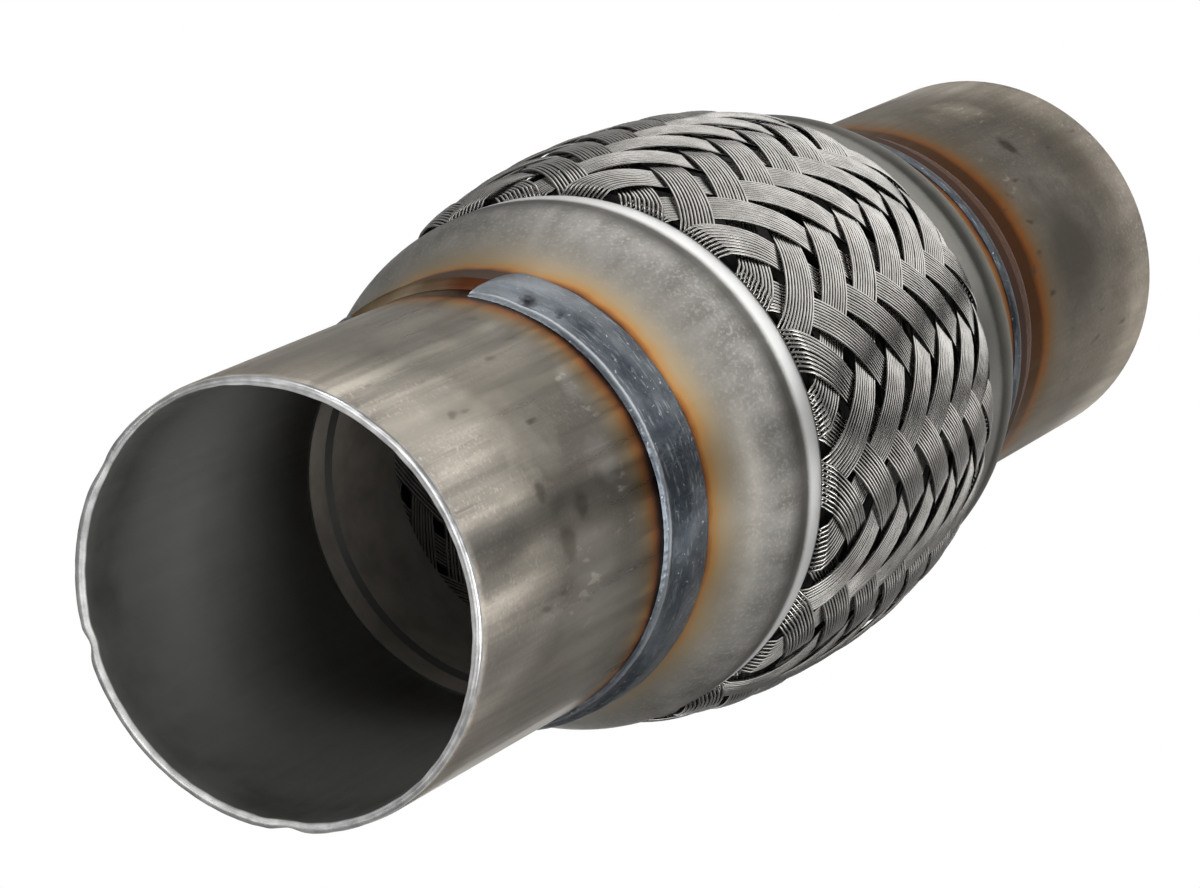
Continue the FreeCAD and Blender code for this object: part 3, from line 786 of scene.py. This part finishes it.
def front_bead_marks(look, base, _, grain):
    """A lighter tip, the dark craters and the bright ridge of the front bead."""
    base = look.spots(base, BEAD_SPOTS, BEAD_RADIUS)
    for turn, height, wide, shade in CRATERS:
        ragged = look.math("MULTIPLY", grain, 1.2 * MM)
        near = look.math("ADD", look.distance(turn, BEAD_RADIUS, height), ragged)
        base = look.covered(base, CRATER_TONE, near, wide, wide + 0.7 * MM, shade, 0.0)
    ridge = look.math("ABSOLUTE", look.math("SUBTRACT", look.z, RIDGE_HEIGHT))
    return look.covered(base, BEAD_RIDGE, ridge, 0.1 * MM, 0.55 * MM, 0.8, 0.0)


def rear_bead_marks(look, base, cloud, grain):
    """The tinted skin on the rear bead's stub side, with bright specks along its edge."""
    height = look.math("ADD", look.z, look.swing(cloud, 1.0 * MM))
    base = look.covered(base, SKIN_TONE, height, SKIN_EDGE - 0.25 * MM, SKIN_EDGE, 1.0, 0.0)
    below = look.ranged(height, SKIN_EDGE - 1.1 * MM, SKIN_EDGE - 0.5 * MM)
    speck = look.math("MULTIPLY", look.ranged(grain, 0.55, 0.62), below)
    above = look.ranged(height, SKIN_EDGE, SKIN_EDGE + 0.5 * MM, 1.0, 0.0)
    return look.mix(look.math("MULTIPLY", speck, above), base, SKIN_SPECK)


def weld_metal(name, marks):
    """A blue-grey oxidised bead with brush lines, bright grains and marks of its own."""
    look = Look(name)
    cloud = look.noise(look.place, scale=240.0, detail=5.0)
    lines = look.noise(look.stretched(*BEAD_LINES))
    grain = look.noise(look.place, scale=1600.0, detail=2.0)
    base = look.mottled(cloud, *BEAD_TONES)
    base = look.covered(base, BEAD_LINE, lines, 0.55, 0.75, 0.0, 0.6)
    base = look.covered(base, BEAD_GRAIN, grain, 0.68, 0.75, 0.0, 0.6)
    base = marks(look, base, cloud, grain)
    relief = look.math("ADD", cloud, look.math("MULTIPLY", grain, 0.5))
    look.bump(relief, strength=0.4, distance=0.3 * MM)
    return look.finish(base, look.ranged(cloud, *WIDE, 0.44, 0.33))


def root_steel():
    """The bare joint beyond the front bead's tip: dark brown by the tip, olive further on."""
    look = Look("root")
    base = look.mottled(look.noise(look.place, scale=140.0), *ROOT_TONES)
    base = look.spots(base, ROOT_SPOTS, BEAD_RADIUS)
    look.highlights(ROOT_HIGHLIGHTS)
    return look.finish(base, 0.42)


def ring_steel():
    """A light brown sheet whose steps, which face along the axis, stay dark."""
    look = Look("ring")
    facing = look.math("ABSOLUTE", look.split(look.normal())["Z"])
    base = look.mottled(look.noise(look.place, scale=180.0), scaled(RING_TONE, 0.7), RING_TONE)
    base = look.covered(base, STEP_TONE, facing, 0.25, 0.6)
    return look.finish(base, 0.45, 0.3)


def bellows_steel():
    """A dull steel with a little mottling."""
    look = Look("convolutions")
    cloud = look.noise(look.place, scale=180.0)
    base = look.mottled(cloud, scaled(BELLOWS_TONE, 0.64), BELLOWS_TONE)
    return look.finish(base, look.ranged(cloud, *WIDE, 0.53, 0.40))


def wire_steel(name, tones, roughness, metallic):
    """Drawn wire with soft changes of tone, and painted shade on its flanks, in the grooves between wires.
    """
    look = Look(name)
    dark, bright = tones
    cloud = look.noise(look.place, scale=420.0, detail=2.0)
    broad = look.noise(look.place, scale=60.0, detail=2.0)
    base = look.mix(look.ranged(cloud, *SOFT, 0.3, 0.8), dark, bright)
    base = look.covered(base, dark, broad, 0.4, 0.7, 0.0, 0.35)
    # Painted shade: the flanks, which turn away from the outside of the wall, grow dark.
    facing = look.vector_math("DOT_PRODUCT", look.normal(), look.stretched(1.0, 0.0), "Value")
    outward = look.math("ABSOLUTE", look.math("DIVIDE", facing, look.from_axis()))
    base = look.covered(base, FLANK_SHADE, outward, 0.35, 0.8, 0.8, 0.0)
    base = look.spots(base, WIRE_SPOTS, WIRE_SPOT_RADIUS)
    return look.finish(base, roughness, metallic)


def matte(name, grey):
    """A matte grey or white without highlights."""
    material = bpy.data.materials.new(name)
    material.use_nodes = True
    shader = material.node_tree.nodes["Principled BSDF"]
    shader.inputs["Base Color"].default_value = (grey, grey, grey, 1)
    shader.inputs["Roughness"].default_value = MATTE_ROUGHNESS
    shader.inputs["Specular IOR Level"].default_value = 0.0
    return material


# Studio.


def make_camera():
    """The camera of the photograph."""
    turn = Vector(CAMERA_TURN)
    right, down, ahead = Matrix.Rotation(turn.length, 3, turn.normalized())
    camera = bpy.data.cameras.new("camera")
    camera.lens = CAMERA_LENS
    camera.sensor_width = SENSOR_WIDTH
    camera.clip_end = CAMERA_SIGHT
    thing = bpy.data.objects.new("camera", camera)
    axes = Matrix((right, -down, -ahead)).transposed().to_4x4()
    thing.matrix_world = Matrix.Translation(CAMERA_PLACE) @ axes
    bpy.context.scene.collection.objects.link(thing)
    bpy.context.scene.camera = thing


def make_lamps():
    """Soft square lamps aimed at the part, not seen by the camera."""
    for name, place, size, watts in LAMPS:
        lamp = bpy.data.lights.new(name, "AREA")
        lamp.size = size
        lamp.energy = watts
        thing = bpy.data.objects.new(name, lamp)
        back = Vector(place) - Vector(LAMP_TARGET)
        aim = back.to_track_quat("Z", "Y").to_matrix().to_4x4()
        thing.matrix_world = Matrix.Translation(place) @ aim
        thing.visible_camera = False
        bpy.context.scene.collection.objects.link(thing)


def make_floor():
    """The floor: matte white to the part, plain white to the camera."""
    corners = [(x * FLOOR_REACH, y * FLOOR_REACH, 0) for x, y in ((-1, -1), (1, -1), (1, 1), (-1, 1))]
    floor = mesh_object("floor", corners, [(0, 1, 2, 3)], smooth=False)
    white = matte("floor_white", FLOOR_GREY)
    nodes, links = white.node_tree.nodes, white.node_tree.links
    shown = nodes.new("ShaderNodeMixShader")
    glow = nodes.new("ShaderNodeEmission")
    glow.inputs["Color"].default_value = (1, 1, 1, 1)
    glow.inputs["Strength"].default_value = 1.0
    links.new(nodes.new("ShaderNodeLightPath").outputs["Is Camera Ray"], shown.inputs[0])
    links.new(nodes["Principled BSDF"].outputs[0], shown.inputs[1])
    links.new(glow.outputs[0], shown.inputs[2])
    links.new(shown.outputs[0], nodes["Material Output"].inputs["Surface"])
    floor.data.materials.append(white)


def hidden_card(name, points, faces, grey):
    """A card that only shows in the part's steel."""
    card = mesh_object(name, points, faces, smooth=False)
    card.data.materials.append(matte(name, grey))
    card.visible_camera = False
    card.visible_diffuse = False
    card.visible_shadow = False


def make_cards():
    """Grey cards round the part and one on the floor, which give its steel darker stretches."""
    low, top = Vector((0, 0, CARD_BOTTOM)), Vector((0, 0, CARD_HEIGHT))
    for index, (degrees, wide, grey) in enumerate(CARDS):
        turn = math.radians(degrees)
        middle = Vector((math.cos(turn), math.sin(turn), 0)) * CARD_DISTANCE
        side = Vector((-math.sin(turn), math.cos(turn), 0)) * wide / 2
        corners = [middle - side + low, middle + side + low, middle + side + top, middle - side + top]
        hidden_card(f"card_{index}", corners, [(0, 1, 2, 3)], grey)
    near, far, grey = FLOOR_CARD
    count = FLOOR_CARD_SIDES
    turns = [2 * math.pi * step / count for step in range(count)]
    points = [turned(turn, radius, FLOOR_CARD_HEIGHT) for radius in (near, far) for turn in turns]
    faces = [(i, (i + 1) % count, count + (i + 1) % count, count + i) for i in range(count)]
    hidden_card("card_floor", points, faces, grey)


def make_world():
    """White to the camera and in reflections, a soft level otherwise."""
    world = bpy.data.worlds.new("studio")
    world.use_nodes = True
    nodes, links = world.node_tree.nodes, world.node_tree.links
    rays = nodes.new("ShaderNodeLightPath")
    seen = nodes.new("ShaderNodeMath")
    seen.operation = "MAXIMUM"
    links.new(rays.outputs["Is Camera Ray"], seen.inputs[0])
    links.new(rays.outputs["Is Glossy Ray"], seen.inputs[1])
    level = nodes.new("ShaderNodeMapRange")
    level.inputs["To Min"].default_value = WORLD_SOFT
    level.inputs["To Max"].default_value = WORLD_FULL
    links.new(seen.outputs[0], level.inputs["Value"])
    links.new(level.outputs["Result"], nodes["Background"].inputs["Strength"])
    nodes["Background"].inputs["Color"].default_value = (1, 1, 1, 1)
    bpy.context.scene.world = world


# The part.


def dress(thing, look):
    """Gives a node or piece its only material."""
    thing.data.materials.clear()
    thing.data.materials.append(look)


def add(piece, look, node):
    """Dresses a piece that takes a node's place."""
    dress(piece, look)
    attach(piece, "root")
    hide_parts(node)


def add_stubs(nodes):
    """The front stub with its raw rim, and the looks of the rear one."""
    front = stub_steel(
        "front_stub", is_front=True, weld_edge=LENGTH - STUB_REACH, tones=FRONT_TONES, streaky=0.5,
        highlights=FRONT_HIGHLIGHTS, tint=FRONT_TINT, tint_reach=8 * MM, reflection_stripes=FRONT_REFLECTION_STRIPES,
        spots=FRONT_SPOTS, scuffs=FRONT_SCUFFS,
    )
    rear = stub_steel(
        "rear_stub", is_front=False, weld_edge=50 * MM, tones=REAR_TONES, streaky=0.1,
        highlights=REAR_HIGHLIGHTS, tint=REAR_TINT, tint_reach=20 * MM, reflection_stripes=(),
        spots=REAR_SPOTS, scuffs=REAR_SCUFFS,
    )
    add(raw_pipe(), front, "front_pipe")
    dress(nodes["rear_pipe"], rear)


def dress_caps(nodes):
    """The looks of the two caps."""
    front = cap_steel(
        "front_cap_steel", weld_edge=LENGTH - CAP_REACH, toward_rear=True, tones=FRONT_CAP_TONES,
        shoulder=FRONT_SHOULDER_HIGHLIGHT, tint_reach=11 * MM,
    )
    rear = cap_steel(
        "rear_cap_steel", weld_edge=CAP_REACH, toward_rear=False, tones=REAR_CAP_TONES,
        shoulder=REAR_SHOULDER_HIGHLIGHT, tint_reach=16 * MM,
    )
    dress(nodes["front_cap"], front)
    dress(nodes["rear_cap"], rear)


def add_welds():
    """The front bead, the joint left bare beyond its tip, and the rear bead."""
    front = front_bead()
    root = bead_ring("weld_front_root", LENGTH - ROOT_REACH, 1, ROOT_BEAD, SEED + 3, ROOT_ARC)
    rear = bead_ring("weld_rear_bead", STUB_REACH, -1, REAR_BEAD, SEED + 4)
    add(front, weld_metal("bead", front_bead_marks), "front_weld")
    add(root, root_steel(), "front_weld")
    add(rear, weld_metal("rear_bead", rear_bead_marks), "rear_weld")


def add_wires():
    """The wires of the outer braid and of the liner, each in a rising and a falling family."""
    noise = np.random.default_rng(SEED)
    wire = wire_steel("wire", WIRE_TONES, roughness=0.22, metallic=1.0)
    for name, climb in (("braid_rising", 1), ("braid_falling", -1)):
        piece = tubes_object(name, braid_wires(climb, noise), WIRE_RADIUS, WIRE_SIDES)
        add(piece, wire, "outer_braid")
    liner = wire_steel("liner", LINER_TONES, roughness=0.35, metallic=0.3)
    for name, climb in (("liner_rising", 1), ("liner_falling", -1)):
        piece = tubes_object(name, liner_wires(climb, noise), LINER_WIRE_RADIUS, LINER_SIDES)
        add(piece, liner, "inner_braid")


def main():
    """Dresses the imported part."""
    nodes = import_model()["nodes"]
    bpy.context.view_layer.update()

    add_stubs(nodes)
    dress_caps(nodes)
    add_welds()
    ring = ring_steel()
    dress(nodes["front_inner_ring"], ring)
    dress(nodes["rear_inner_ring"], ring)
    dress(nodes["bellows"], bellows_steel())
    add_wires()

    bpy.context.scene.view_settings.view_transform = "Standard"
    make_floor()
    make_world()
    make_camera()
    make_lamps()
    make_cards()


main()
